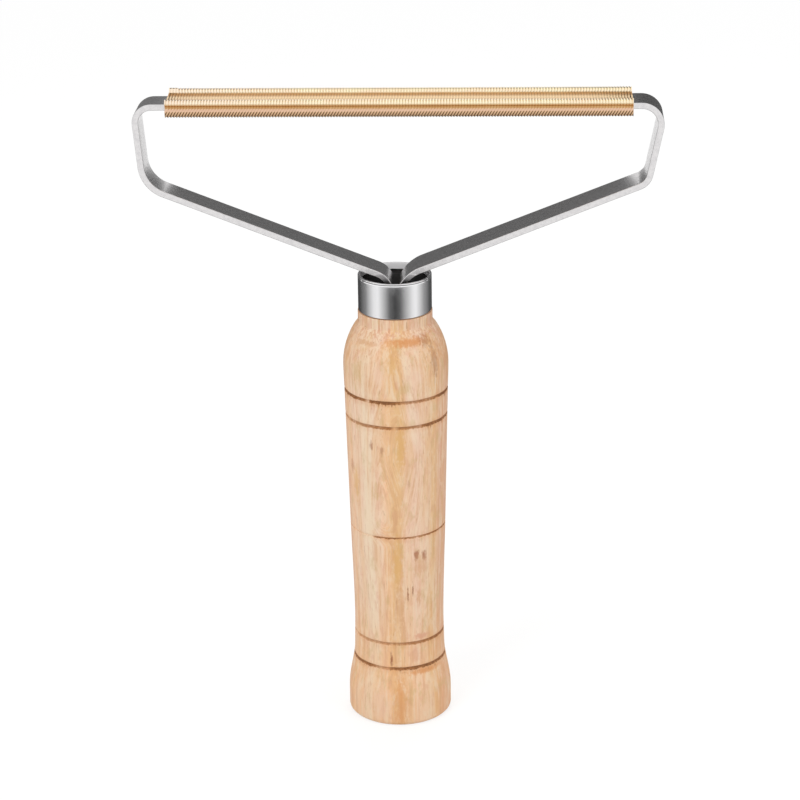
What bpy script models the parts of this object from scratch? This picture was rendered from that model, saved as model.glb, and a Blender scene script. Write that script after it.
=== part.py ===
"""Manual lint shaver.

A turned wooden handle carries a steel ferrule. A flat steel strap, bent into a loop, is set in the
handle with resin, and its top run carries a brass sleeve with four lobes, the comb.

Metres, +Z up. The origin is the centre of the foot, +X runs across the head and -Y is the front.
"""
import math

import bmesh
import bpy
from mathutils import Vector

# Fits
FIT = 0.0003                  # clearance between pieces that touch
WELD = 0.000001               # points closer than this are one point

# Turned handle
HANDLE_LENGTH = 0.1284        # foot to the ledge that carries the ferrule
FOOT_RADIUS = 0.01555
FOOT_EDGE = 0.0012            # rounding of the foot's lower edge
FOOT_HEIGHT = 0.0066          # where the foot starts to draw in
FLARE_RADIUS = 0.01362        # at the top of the flare
FLARE_HEIGHT = 0.0154
WAIST_RADIUS = 0.01345        # thinnest place
WAIST_RISE = 0.0080           # from the top of the flare to the waist
BELLY_RADIUS = 0.01545        # widest place
SHOULDER_HEIGHT = 0.0134
NECK_LENGTH = 0.0030
NECK_STEP = 0.00015           # the neck stands proud of the ferrule by this

# Turned grooves
GROOVE_DEPTH = 0.0004
GROOVE_WIDTH = 0.0010
FINE_GROOVE_WIDTH = 0.0006    # the groove at mid length
FOOT_GROOVE = 0.0184          # heights above the foot
WAIST_GROOVE = 0.0265
MIDDLE_GROOVE = 0.0615
BELLY_GROOVE_DROP = 0.0074    # distances below the start of the shoulder
LOWER_BELLY_GROOVE_DROP = 0.0153

# Ferrule and the spigot in it
FERRULE_RADIUS = 0.01075
FERRULE_WALL = 0.0007
FERRULE_HEIGHT = 0.0106
FERRULE_LIP = 0.0002          # rounding of the ferrule's rims
SPIGOT_HEIGHT = 0.0060
SPIGOT_CHAMFER = 0.0004

# Flat strap
STRAP_WIDTH = 0.0100
STRAP_THICKNESS = 0.0018
TANG_GAP = 0.0003             # between the two tangs, which lie face to face
TANG_LENGTH = 0.0340          # fork to the ends of the tangs
FORK_DROP = 0.0003            # from the ferrule's rim to the corner of arm and tang

# Corners of the strap's middle line: out from the handle's axis, and up from the fork
LEFT_ELBOW_REACH = 0.0713
LEFT_ELBOW_RISE = 0.0277
RIGHT_ELBOW_REACH = 0.0725
RIGHT_ELBOW_RISE = 0.0284
LEFT_CORNER_REACH = 0.0732
RIGHT_CORNER_REACH = 0.0771
TOP_RUN_RISE = 0.0510
RIGHT_SIDE_TWIST = 0.00075    # height of the right side's back edge over its front edge
TOP_RUN_TWIST = 0.0004        # the same at the right end of the top run, from none at the left

# Bend radii at the strap's middle line
LEFT_FORK_BEND = 0.0063
RIGHT_FORK_BEND = 0.0105
LEFT_ELBOW_BEND = 0.0095
RIGHT_ELBOW_BEND = 0.0046
LEFT_CORNER_BEND = 0.0047
RIGHT_CORNER_BEND = 0.0056

# Comb sleeve
SLEEVE_LENGTH = 0.1318
SLEEVE_ROLL = math.radians(2.6)   # the sleeve sits rolled on the strap, its back edge high
SHEET = 0.00025               # thickness of the brass
UPPER_LOBE_RADIUS = 0.00105
LOWER_LOBE_RADIUS = 0.0015
LOBE_PARTING = 0.0002         # between an upper lobe and the lower one beside it
PARTING_RISE = 0.00063        # from the strap's middle line up to that parting
EDGE_SPACE = 0.0010           # between the strap's edge and the sheet in front of it
EDGE_FILLET = 0.00035         # hollow between two lobes, in front of the strap's edge
FLOOR_HALF_WIDTH = 0.0036     # from the sleeve's middle to where the flat floor starts to rise
SEAM = 0.0003                 # open seam along the underside

# Resin in the socket and the ferrule
RESIN_WALL = 0.0006           # least resin round the tangs
RESIN_FLOOR = 0.0010          # resin under the tangs' ends
RESIN_DROP = 0.0017           # from the ferrule's rim down to the resin's surface

# Facets
TURNED_STEPS = 48
FLARE_STEPS = 8
SHOULDER_STEPS = 9
BEND_STEP = math.radians(5)
LOBE_STEP = math.radians(18)
EDGE_FACETS = 3

# Heights worked out from the sizes above
FLARE_TOP = FOOT_HEIGHT + FLARE_HEIGHT
WAIST_TOP = FLARE_TOP + WAIST_RISE
NECK_START = HANDLE_LENGTH - NECK_LENGTH
SHOULDER_START = NECK_START - SHOULDER_HEIGHT
SPIGOT_TOP = HANDLE_LENGTH + SPIGOT_HEIGHT
FERRULE_FOOT = HANDLE_LENGTH + FIT
RIM = FERRULE_FOOT + FERRULE_HEIGHT
FORK = RIM - FORK_DROP
TOP_RUN = FORK + TOP_RUN_RISE
TANG_END = FORK - TANG_LENGTH
RESIN_FOOT = TANG_END - FIT - RESIN_FLOOR
RESIN_LEDGE = SPIGOT_TOP + FIT
RESIN_TOP = RIM - RESIN_DROP
SOCKET_FOOT = RESIN_FOOT - FIT

# The sleeve's floor lies high enough over the strap's middle line for the rolled sleeve to clear it
FLOOR_RISE = STRAP_THICKNESS / 2 + FIT + SHEET + FLOOR_HALF_WIDTH * math.sin(SLEEVE_ROLL)

# Radii and half sizes worked out from the sizes above
NECK_RADIUS = FERRULE_RADIUS + NECK_STEP
FERRULE_BORE = FERRULE_RADIUS - FERRULE_WALL
SPIGOT_RADIUS = FERRULE_BORE - FIT
TANG_CENTRE = (TANG_GAP + STRAP_THICKNESS) / 2
TANG_REACH = math.hypot(STRAP_WIDTH / 2 + FIT, TANG_CENTRE + STRAP_THICKNESS / 2 + FIT)
RESIN_RADIUS = TANG_REACH + RESIN_WALL
SOCKET_RADIUS = RESIN_RADIUS + FIT


def clear_scene():
    """Empty the scene that the script is run in."""
    for item in list(bpy.data.objects):
        bpy.data.objects.remove(item)


def finish(name, color, roughness, metallic):
    """A plain material for one sub-part."""
    material = bpy.data.materials.new(name)
    material.use_nodes = True
    shader = material.node_tree.nodes["Principled BSDF"]
    shader.inputs["Base Color"].default_value = (*color, 1.0)
    shader.inputs["Roughness"].default_value = roughness
    shader.inputs["Metallic"].default_value = metallic
    return material


def add_object(name, shape, material, smooth_below=math.radians(30)):
    """Turn a bmesh into a named object, smooth where its faces meet at a small angle."""
    bmesh.ops.recalc_face_normals(shape, faces=shape.faces)
    mesh = bpy.data.meshes.new(name)
    shape.to_mesh(mesh)
    shape.free()
    mesh.shade_smooth()
    mesh.set_sharp_from_angle(angle=smooth_below)
    mesh.materials.append(material)
    item = bpy.data.objects.new(name, mesh)
    bpy.context.scene.collection.objects.link(item)
    return item


def turn(outline, closed):
    """Spin an outline of (radius, height) points round Z."""
    shape = bmesh.new()
    points = [shape.verts.new((radius, 0, height)) for radius, height in outline]
    pairs = list(zip(points, points[1:]))
    if closed:
        pairs.append((points[-1], points[0]))
    edges = [shape.edges.new(pair) for pair in pairs]
    bmesh.ops.spin(shape, geom=points + edges, cent=(0, 0, 0), axis=(0, 0, 1),
                   angle=math.tau, steps=TURNED_STEPS)
    bmesh.ops.remove_doubles(shape, verts=shape.verts, dist=WELD)
    return shape


def arc(centre, radius, start, end, steps):
    """Points on a circle, from one angle to another, both ends included."""
    return [(centre[0] + radius * math.cos(start + (end - start) * i / steps),
             centre[1] + radius * math.sin(start + (end - start) * i / steps))
            for i in range(steps + 1)]


def body_radius(height):
    """Radius of the handle's outside at a height, without its grooves."""
    if height <= FOOT_HEIGHT:
        return FOOT_RADIUS
    if height <= FLARE_TOP:
        turn_in = math.pi * (height - FOOT_HEIGHT) / FLARE_HEIGHT
        return FLARE_RADIUS + (FOOT_RADIUS - FLARE_RADIUS) * (1 + math.cos(turn_in)) / 2
    if height <= WAIST_TOP:
        share = (height - FLARE_TOP) / WAIST_RISE
        return FLARE_RADIUS + (WAIST_RADIUS - FLARE_RADIUS) * share
    if height <= SHOULDER_START:
        share = (height - WAIST_TOP) / (SHOULDER_START - WAIST_TOP)
        return WAIST_RADIUS + (BELLY_RADIUS - WAIST_RADIUS) * share
    if height <= NECK_START:
        drop = BELLY_RADIUS - NECK_RADIUS
        curve = (SHOULDER_HEIGHT ** 2 + drop ** 2) / (2 * drop)
        return BELLY_RADIUS - curve + math.sqrt(curve ** 2 - (height - SHOULDER_START) ** 2)
    return NECK_RADIUS


def steps_between(low, high, count):
    """Even heights from low to high, both ends included."""
    return [low + (high - low) * i / count for i in range(count + 1)]


def body_outline():
    """The handle's side from the foot's edge to the ledge.

    A groove has sloping sides and a flat bottom, each a third of its width.
    """
    grooves = [(FOOT_GROOVE, GROOVE_WIDTH),
               (WAIST_GROOVE, GROOVE_WIDTH),
               (MIDDLE_GROOVE, FINE_GROOVE_WIDTH),
               (SHOULDER_START - LOWER_BELLY_GROOVE_DROP, GROOVE_WIDTH),
               (SHOULDER_START - BELLY_GROOVE_DROP, GROOVE_WIDTH)]
    heights = (steps_between(FOOT_HEIGHT, FLARE_TOP, FLARE_STEPS)
               + [WAIST_TOP]
               + steps_between(SHOULDER_START, NECK_START, SHOULDER_STEPS)
               + [HANDLE_LENGTH])
    cuts = []
    for middle, width in grooves:
        heights = [z for z in heights if abs(z - middle) > width]
        cuts += [(middle - width / 2, 0), (middle - width / 6, GROOVE_DEPTH),
                 (middle + width / 6, GROOVE_DEPTH), (middle + width / 2, 0)]
    stations = sorted(set([(z, 0) for z in heights] + cuts))
    return [(body_radius(z) - depth, z) for z, depth in stations]


def make_handle():
    """Handle: foot, grooved body, ledge and spigot for the ferrule, and a blind socket."""
    edge = arc((FOOT_RADIUS - FOOT_EDGE, FOOT_EDGE), FOOT_EDGE, -math.pi / 2, 0, EDGE_FACETS)
    spigot = [(SPIGOT_RADIUS, HANDLE_LENGTH),
              (SPIGOT_RADIUS, SPIGOT_TOP - SPIGOT_CHAMFER),
              (SPIGOT_RADIUS - SPIGOT_CHAMFER, SPIGOT_TOP)]
    socket = [(SOCKET_RADIUS, SPIGOT_TOP), (SOCKET_RADIUS, SOCKET_FOOT), (0, SOCKET_FOOT)]
    shape = turn([(0, 0)] + edge + body_outline() + spigot + socket, closed=False)
    wood = finish("pale_wood", (0.78, 0.55, 0.32), 0.55, 0.0)
    return add_object("wooden_handle", shape, wood)


def make_ferrule():
    """Ferrule: a thin collar with rounded rims, open at the top."""
    corners = [(FERRULE_BORE, FERRULE_FOOT, 1, 1, math.pi),
               (FERRULE_RADIUS, FERRULE_FOOT, -1, 1, 1.5 * math.pi),
               (FERRULE_RADIUS, RIM, -1, -1, 0),
               (FERRULE_BORE, RIM, 1, -1, 0.5 * math.pi)]
    outline = []
    for radius, height, inward, upward, start in corners:
        centre = (radius + inward * FERRULE_LIP, height + upward * FERRULE_LIP)
        outline += arc(centre, FERRULE_LIP, start, start + math.pi / 2, EDGE_FACETS)
    steel = finish("polished_steel", (0.62, 0.62, 0.63), 0.18, 1.0)
    return add_object("ferrule", turn(outline, closed=True), steel)


def bend(before, corner, after, radius):
    """Points of the bend that rounds one corner of the strap's middle line."""
    arriving = (corner - before).normalized()
    leaving = (after - corner).normalized()
    swing = arriving.angle_signed(leaving)
    setback = radius * math.tan(abs(swing) / 2)
    start = corner - arriving * setback
    # angle_signed counts clockwise as positive, so the bend's centre is on the right then
    side = Vector((arriving.y, -arriving.x)) * math.copysign(1, swing)
    centre = start + side * radius
    steps = max(2, math.ceil(abs(swing) / BEND_STEP))
    points = []
    for i in range(steps + 1):
        angle = -swing * i / steps
        arm = start - centre
        points.append(centre + Vector((arm.x * math.cos(angle) - arm.y * math.sin(angle),
                                       arm.x * math.sin(angle) + arm.y * math.cos(angle))))
    return points


def strap_line():
    """Middle line of the strap in X and Z, from the left tang's end round to the right one's.

    Each point comes with the strap's twist there: the height of its back edge over its front edge.
    """
    corners = [(Vector((-TANG_CENTRE, FORK)), LEFT_FORK_BEND),
               (Vector((-LEFT_ELBOW_REACH, FORK + LEFT_ELBOW_RISE)), LEFT_ELBOW_BEND),
               (Vector((-LEFT_CORNER_REACH, TOP_RUN)), LEFT_CORNER_BEND),
               (Vector((RIGHT_CORNER_REACH, TOP_RUN)), RIGHT_CORNER_BEND),
               (Vector((RIGHT_ELBOW_REACH, FORK + RIGHT_ELBOW_RISE)), RIGHT_ELBOW_BEND),
               (Vector((TANG_CENTRE, FORK)), RIGHT_FORK_BEND)]
    ends = [Vector((-TANG_CENTRE, TANG_END)), Vector((TANG_CENTRE, TANG_END))]
    stops = [ends[0]] + [corner for corner, radius in corners] + [ends[1]]
    # The twist before and after each bend
    right = RIGHT_SIDE_TWIST
    twists = [(0, 0), (0, 0), (0, 0), (TOP_RUN_TWIST, right), (right, right), (right, 0)]
    line = [(ends[0], 0)]
    for i, (corner, radius) in enumerate(corners):
        points = bend(stops[i], corner, stops[i + 2], radius)
        before, after = twists[i]
        for k, point in enumerate(points):
            share = k / (len(points) - 1)
            line.append((point, before + (after - before) * share))
    line.append((ends[1], 0))
    return line


def flat_bar(line, thickness, width):
    """A flat bar that follows a middle line, with its width along Y."""
    points = [point for point, twist in line]
    shape = bmesh.new()
    rings = []
    for i, (point, twist) in enumerate(line):
        ahead = (points[min(i + 1, len(points) - 1)] - point).normalized()
        behind = (point - points[max(i - 1, 0)]).normalized()
        along = (ahead + behind).normalized()
        reach = thickness / 2 / max(along.dot(ahead), along.dot(behind))
        across = Vector((-along.y, along.x)) * reach
        rings.append([shape.verts.new((point.x + side * across.x,
                                       edge * width / 2,
                                       point.y + side * across.y + lift))
                      for edge, side, lift in ((-1, -1, 0), (-1, 1, 0), (1, 1, twist), (1, -1, twist))])
    for ring, after in zip(rings, rings[1:]):
        for i in range(len(ring)):
            shape.faces.new((ring[i - 1], ring[i], after[i], after[i - 1]))
    shape.faces.new(rings[0])
    shape.faces.new(rings[-1])
    return shape


def make_strap():
    """Strap frame: the bent bar with its two tangs."""
    steel = finish("brushed_steel", (0.55, 0.55, 0.56), 0.35, 1.0)
    return add_object("strap_frame", flat_bar(strap_line(), STRAP_THICKNESS, STRAP_WIDTH), steel)


def sleeve_quarter(lobe_radius, floor, inset):
    """One quarter of the sleeve's section, from the floor's edge to the hollow at the strap's edge.

    Points are (depth along Y, height over the parting between the lobes). The inset is 0 for the
    outside of the sheet and its thickness for the inside, so both sides share their arcs' centres.
    The hollow between floor and lobe touches both, which sets its radius.
    """
    edge = STRAP_WIDTH / 2 + EDGE_SPACE + SHEET
    lobe_height = lobe_radius + LOBE_PARTING / 2
    edge_centre = (edge + EDGE_FILLET, 0)
    edge_span = lobe_radius + EDGE_FILLET
    lobe_depth = edge_centre[0] - math.sqrt(edge_span ** 2 - lobe_height ** 2)
    lift = lobe_height - floor
    floor_fillet = (((lobe_depth - FLOOR_HALF_WIDTH) ** 2 + lift ** 2 - lobe_radius ** 2)
                    / (2 * (lobe_radius + lift)))
    floor_centre = (FLOOR_HALF_WIDTH, floor + floor_fillet)
    to_floor = math.atan2(floor_centre[1] - lobe_height, FLOOR_HALF_WIDTH - lobe_depth)
    to_edge = math.atan2(-lobe_height, edge_centre[0] - lobe_depth)
    lobe_steps = math.ceil((to_floor - to_edge) / LOBE_STEP)
    floor_arc = arc(floor_centre, floor_fillet + inset, -math.pi / 2, to_floor - math.pi, EDGE_FACETS)
    lobe_arc = arc((lobe_depth, lobe_height), lobe_radius - inset, to_floor, to_edge, lobe_steps)
    edge_arc = arc(edge_centre, EDGE_FILLET + inset, to_edge + math.pi, math.pi, EDGE_FACETS)
    return floor_arc + lobe_arc[1:-1] + edge_arc


def sleeve_section(inset):
    """The sleeve's whole section, from one side of the seam under the strap round to the other."""
    upper = sleeve_quarter(UPPER_LOBE_RADIUS, FLOOR_RISE - PARTING_RISE, inset)
    lower = sleeve_quarter(LOWER_LOBE_RADIUS, FLOOR_RISE + PARTING_RISE, inset)
    floor = lower[0][1]
    lower_back = [(y, -z) for y, z in lower]
    upper_back = [(y, z) for y, z in reversed(upper[:-1])]
    upper_front = [(-y, z) for y, z in upper]
    lower_front = [(-y, -z) for y, z in reversed(lower[:-1])]
    whole = lower_back + upper_back + upper_front + lower_front
    return [(SEAM / 2, -floor)] + whole + [(-SEAM / 2, -floor)]


def rolled(y, z):
    """A point of the section on the strap, after the sleeve has rolled about its middle line."""
    rise = z + PARTING_RISE
    return (y * math.cos(SLEEVE_ROLL) - rise * math.sin(SLEEVE_ROLL),
            y * math.sin(SLEEVE_ROLL) + rise * math.cos(SLEEVE_ROLL))


def make_sleeve():
    """Comb sleeve: the lobed sheet, centred on the strap's top run."""
    middle = (RIGHT_CORNER_REACH - LEFT_CORNER_REACH) / 2
    start = middle - SLEEVE_LENGTH / 2
    shape = bmesh.new()
    sides = []
    for inset in (0, SHEET):
        section = [rolled(y, z) for y, z in sleeve_section(inset)]
        sides.append([shape.verts.new((start, y, TOP_RUN + z)) for y, z in section])
    outer, inner = sides
    for i in range(len(outer) - 1):
        shape.faces.new((outer[i], outer[i + 1], inner[i + 1], inner[i]))
    grown = bmesh.ops.extrude_face_region(shape, geom=list(shape.faces))
    moved = [item for item in grown["geom"] if isinstance(item, bmesh.types.BMVert)]
    bmesh.ops.translate(shape, verts=moved, vec=(SLEEVE_LENGTH, 0, 0))
    brass = finish("brass_sheet", (0.80, 0.58, 0.30), 0.3, 1.0)
    return add_object("comb_sleeve", shape, brass)


def make_tang_cutter(name, side):
    """One half of the strap, larger by the clearance all round, to make room for it in the resin."""
    half = [(point.copy(), twist) for point, twist in strap_line() if point.x * side > 0]
    tang_end = min((point for point, twist in half), key=lambda point: point.y)
    tang_end.y -= FIT
    shape = flat_bar(half, STRAP_THICKNESS + 2 * FIT, STRAP_WIDTH + 2 * FIT)
    cutter = add_object(name, shape, finish("cutter", (1, 0, 0), 0.5, 0.0))
    cutter.hide_render = True
    cutter.display_type = "WIRE"
    return cutter


def make_resin():
    """Socket resin: a plug round the tangs, wider above the spigot, where it fills the ferrule."""
    outline = [(0, RESIN_FOOT), (RESIN_RADIUS, RESIN_FOOT), (RESIN_RADIUS, RESIN_LEDGE),
               (SPIGOT_RADIUS, RESIN_LEDGE), (SPIGOT_RADIUS, RESIN_TOP), (0, RESIN_TOP)]
    resin = finish("dark_resin", (0.03, 0.03, 0.03), 0.4, 0.0)
    item = add_object("socket_resin", turn(outline, closed=False), resin)
    for name, side in (("left_tang_cutter", -1), ("right_tang_cutter", 1)):
        pocket = item.modifiers.new(name, "BOOLEAN")
        pocket.operation = "DIFFERENCE"
        pocket.solver = "EXACT"
        pocket.object = make_tang_cutter(name, side)
    return item


def main():
    clear_scene()
    make_handle()
    make_ferrule()
    make_strap()
    make_sleeve()
    make_resin()


main()
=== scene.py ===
# %% [markdown] # A manual lint shaver  This lesson dresses a hand tool that scrapes lint off
# clothes. A turned wooden handle carries a polished steel ferrule. A flat steel strap is bent into
# a loop and set in the handle with dark resin, and the top of the loop carries a crimped brass
# sleeve, the comb. The lesson keeps their sizes and gives each piece its fine shape and its finish.
# Meshes are in metres. Finishes work in millimetres, because their patterns are that small. The
# origin is the centre of the handle's foot, +Z is up and the front of the tool faces -Y.

import math

import bmesh
import bpy
from mathutils import Matrix, Vector, noise


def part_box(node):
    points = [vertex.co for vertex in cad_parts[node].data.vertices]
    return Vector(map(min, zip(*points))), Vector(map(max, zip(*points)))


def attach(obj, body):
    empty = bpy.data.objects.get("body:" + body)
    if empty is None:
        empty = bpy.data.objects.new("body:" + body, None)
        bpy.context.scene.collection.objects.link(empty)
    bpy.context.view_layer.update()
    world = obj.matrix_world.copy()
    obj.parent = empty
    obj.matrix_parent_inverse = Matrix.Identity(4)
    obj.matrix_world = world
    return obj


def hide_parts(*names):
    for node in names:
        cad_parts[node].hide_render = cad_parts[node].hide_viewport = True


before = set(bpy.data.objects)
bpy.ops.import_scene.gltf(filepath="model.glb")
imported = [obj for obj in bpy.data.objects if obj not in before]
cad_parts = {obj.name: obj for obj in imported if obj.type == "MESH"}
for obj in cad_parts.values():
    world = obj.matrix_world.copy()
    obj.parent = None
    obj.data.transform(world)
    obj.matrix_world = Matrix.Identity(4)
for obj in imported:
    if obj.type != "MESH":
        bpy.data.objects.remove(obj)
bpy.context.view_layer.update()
MM = 0.001
print("nodes:", sorted(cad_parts))

# %% [markdown]
# ## The camera
#
# A camera needs a place, a direction and a lens. The tool was photographed from the front, a little
# above, with a long lens that keeps its sides almost parallel. The direction could come from a
# constraint that tracks an empty. Here the three axes are worked out instead, because the picture
# also leans by less than a degree, and a tracking constraint would set that lean to zero.

# %% Place the camera
AIM = Vector((1.07, 0.04, 99.89)) * MM
VIEW_DISTANCE = 768 * MM
VIEW_DOWN = math.radians(20.8)
VIEW_TURN = math.radians(2.3)
VIEW_LEAN = math.radians(0.77)
LENS = 117
CLIP_START = 10 * MM


def camera_matrix():
    """The camera's place and axes: it looks along its own -Z, with its own +Y up."""
    forward = Vector((-math.sin(VIEW_TURN) * math.cos(VIEW_DOWN),
                      math.cos(VIEW_TURN) * math.cos(VIEW_DOWN),
                      -math.sin(VIEW_DOWN)))
    level = Vector((math.cos(VIEW_TURN), math.sin(VIEW_TURN), 0))
    rise = level.cross(forward)
    right = level * math.cos(VIEW_LEAN) - rise * math.sin(VIEW_LEAN)
    up = level * math.sin(VIEW_LEAN) + rise * math.cos(VIEW_LEAN)
    axes = Matrix((right, up, -forward)).transposed().to_4x4()
    return Matrix.Translation(AIM - forward * VIEW_DISTANCE) @ axes


camera = bpy.data.objects.new("camera", bpy.data.cameras.new("camera"))
camera.data.lens = LENS
camera.data.clip_start = CLIP_START
camera.matrix_world = camera_matrix()
bpy.context.scene.collection.objects.link(camera)
bpy.context.scene.camera = camera
bpy.context.scene.view_settings.view_transform = "Standard"
print("camera at", [round(v, 4) for v in camera.matrix_world.translation])

# %% [markdown]
# ## Shader maths that reads as maths
#
# A finish is a tree of nodes. Each sum could be a node placed by hand, and a long formula then
# hides in dozens of boxes. The small class below wraps one socket, so that `1 - mask * 0.5` adds
# the nodes by itself. Values go through Math nodes. Colours and vectors go through Vector Math and
# Mix nodes, because a Math node would turn a colour grey.

# %% Wrap a socket
class Wire:
    """One output socket, which can be used in a formula."""

    def __init__(self, finish, socket):
        self.finish = finish
        self.socket = socket

    def work(self, operation, *terms):
        """One Math node, or one Vector Math node if a term is a colour or a vector."""
        wide = any(isinstance(term, tuple) or (isinstance(term, Wire) and term.socket.type != "VALUE")
                   for term in terms)
        kind = "ShaderNodeVectorMath" if wide else "ShaderNodeMath"
        return self.finish.node(kind, {"operation": operation}, dict(enumerate(terms)))

    def __add__(self, other):
        return self.work("ADD", self, other)

    def __radd__(self, other):
        return self.work("ADD", other, self)

    def __sub__(self, other):
        return self.work("SUBTRACT", self, other)

    def __rsub__(self, other):
        return self.work("SUBTRACT", other, self)

    def __mul__(self, other):
        return self.work("MULTIPLY", self, other)

    def __rmul__(self, other):
        return self.work("MULTIPLY", other, self)

    def __truediv__(self, other):
        return self.work("DIVIDE", self, other)

    def __pow__(self, other):
        return self.work("POWER", self, other)

    def __abs__(self):
        return self.work("ABSOLUTE", self)

    def fraction(self):
        """What is left of a value after its whole number."""
        return self.work("FRACT", self)

    def larger(self, other):
        return self.work("MAXIMUM", self, other)

    def smaller(self, other):
        return self.work("MINIMUM", self, other)

    def step(self, low, high, start=0.0, end=1.0):
        """A soft step from start to end as the value goes from low to high."""
        return self.finish.node("ShaderNodeMapRange", {"interpolation_type": "SMOOTHSTEP"},
                                {"Value": self, "From Min": low, "From Max": high,
                                 "To Min": start, "To Max": end})

    def fade(self, low, high, start=1.0):
        """A soft step from start down to nothing as the value goes from low to high."""
        return self.step(low, high, start, 0.0)


def length(across, along):
    """Length of a slanted line that goes so far across and so far along."""
    return (across * across + along * along) ** 0.5


print("a wire knows, besides sums:", [name for name in vars(Wire) if not name.startswith("_")])

# %% [markdown]
# The nodes have to live somewhere: in a material, or in the world for the air round the tool. Each
# kind of node could get a function of its own. One method that takes a node's type, its settings
# and what feeds its sockets covers them all, and most methods below it are built on it.

# %% Hold the nodes of a finish
class Finish:
    """One material or world: its node tree, and one method that adds any node to it."""

    def __init__(self, name, world=False):
        self.owner = (bpy.data.worlds if world else bpy.data.materials).new(name)
        self.owner.use_nodes = True
        self.tree = self.owner.node_tree
        self.tree.nodes.clear()

    def node(self, kind, settings=None, inputs=None, output=0):
        """Add a node, set it up, feed its sockets and return one of its outputs."""
        made = self.tree.nodes.new(kind)
        for name, value in (settings or {}).items():
            if name == "stops":
                self.set_stops(made.color_ramp.elements, value)
            else:
                setattr(made, name, value)
        for key, value in (inputs or {}).items():
            self.feed(made.inputs[key], value)
        return Wire(self, made.outputs[output])

    def set_stops(self, elements, stops):
        """Give a Color Ramp its stops, each a place from 0 to 1 and a colour."""
        while len(elements) > 1:
            elements.remove(elements[-1])
        for i, (place, color) in enumerate(stops):
            element = elements[0] if i == 0 else elements.new(place)
            element.position = place
            element.color = (*color, 1.0)

    def feed(self, socket, value):
        """Link a wire to a socket, or set the socket to a number, colour or vector."""
        if isinstance(value, Wire):
            self.tree.links.new(value.socket, socket)
        elif socket.type == "VALUE":
            socket.default_value = value
        elif socket.type == "RGBA":
            socket.default_value = (*value, 1.0)
        else:
            socket.default_value = value if isinstance(value, tuple) else (value, value, value)

    def blend(self, share, first, second):
        """Mix two colours by a share from 0 to 1."""
        return self.node("ShaderNodeMix", {"data_type": "RGBA"}, {0: share, 6: first, 7: second}, output=2)

    def noise(self, place, detail=3.0, roughness=0.5, lift=0.0):
        """Cloudy values round 0.5, in the place's own units. Lift picks another cloud."""
        return self.node("ShaderNodeTexNoise", {},
                         {"Vector": place + (lift, lift, lift), "Scale": 1.0,
                          "Detail": detail, "Roughness": roughness})

    def bump(self, height, strength, depth):
        """A normal that follows a height map. Depth is how deep a value of 1 is, in metres."""
        return self.node("ShaderNodeBump", {}, {"Strength": strength, "Distance": depth, "Height": height})

    def place(self):
        """Where a point of the piece is, in millimetres."""
        return self.node("ShaderNodeTexCoord", output="Object") * (1 / MM, 1 / MM, 1 / MM)

    def split(self, vector):
        """A vector's X, Y and Z as three wires."""
        made = self.node("ShaderNodeSeparateXYZ", {}, {0: vector}).socket.node
        return [Wire(self, made.outputs[i]) for i in range(3)]

    def surface(self, inputs):
        """Feed a Principled shader and make it the surface."""
        return self.end_with(self.node("ShaderNodeBsdfPrincipled", {}, inputs))

    def end_with(self, shader, kind="ShaderNodeOutputMaterial"):
        """Make a shader the surface, and return the finished material or world."""
        end = self.tree.nodes.new(kind)
        self.feed(end.inputs["Surface"], shader)
        return self.owner


def linear(red, green, blue):
    """A colour, 0 to 255, as linear light. The numbers are those of the usual curve for screens."""
    levels = [level / 255 for level in (red, green, blue)]
    return tuple(v / 12.92 if v <= 0.04045 else ((v + 0.055) / 1.055) ** 2.4 for v in levels)


print("shader helpers ready; mid grey is", round(linear(128, 128, 128)[0], 3))

# %% [markdown]
# ## Meshes from rows of points
#
# Every piece here is a skin over rows of points: rings round the handle, or cross-sections along
# the sleeve. Blender's Screw modifier could turn a plain outline, but the handle's grooves change
# their depth on the way round, so each ring needs points of its own. One helper lays quads between
# rows, and another turns the result into a piece that rides on the frame. Outlines and sections
# are made of arcs.

# %% Lay rows and make pieces
def add_row(shape, points):
    return [shape.verts.new(point) for point in points]


def lay_rows(shape, rows, wrap=True):
    """Quads between each row of vertices and the next. Wrap joins a row's end to its start."""
    for row, after in zip(rows, rows[1:]):
        for i in range(len(row) if wrap else len(row) - 1):
            j = (i + 1) % len(row)
            shape.faces.new((row[i], row[j], after[j], after[i]))


def close_with_point(shape, row, point):
    """A fan of triangles from a ring to one point in its middle."""
    middle = shape.verts.new(point)
    for i in range(len(row)):
        shape.faces.new((row[i - 1], row[i], middle))


def make_piece(name, shape, material, node, sharp_above=40):
    """Turn a bmesh into the piece that stands for a node of the frame."""
    bmesh.ops.recalc_face_normals(shape, faces=shape.faces)
    mesh = bpy.data.meshes.new(name)
    shape.to_mesh(mesh)
    shape.free()
    mesh.shade_smooth()
    mesh.set_sharp_from_angle(angle=math.radians(sharp_above))
    mesh.materials.append(material)
    piece = bpy.data.objects.new(name, mesh)
    bpy.context.scene.collection.objects.link(piece)
    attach(piece, "root")
    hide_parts(node)
    print(name, "has", len(mesh.polygons), "faces")
    return piece


def circle(radius, height, steps):
    """Points round Z, from the front towards +X."""
    return [(radius * math.sin(math.tau * i / steps), -radius * math.cos(math.tau * i / steps), height)
            for i in range(steps)]


def arc(centre, radius, start, end, steps):
    """Points of an arc in the plane of an outline, from one angle to another."""
    return [(centre[0] + radius * math.cos(start + (end - start) * i / steps),
             centre[1] + radius * math.sin(start + (end - start) * i / steps))
            for i in range(steps + 1)]


print("mesh helpers ready; a circle of 8 steps has", len(circle(MM, 0, 8)), "points")

# %% [markdown]
# ## The handle's outline
#
# The handle was turned on a lathe, so one outline gives its shape. The outline could be typed in
# again, and it would then drift from the solid that it stands for. It is read from the frame
# instead: the largest radius at each height. Places where the radius dips are the grooves. The rest
# is joined by a smooth curve that never overshoots its points, as a wood turner's gouge would.

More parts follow.
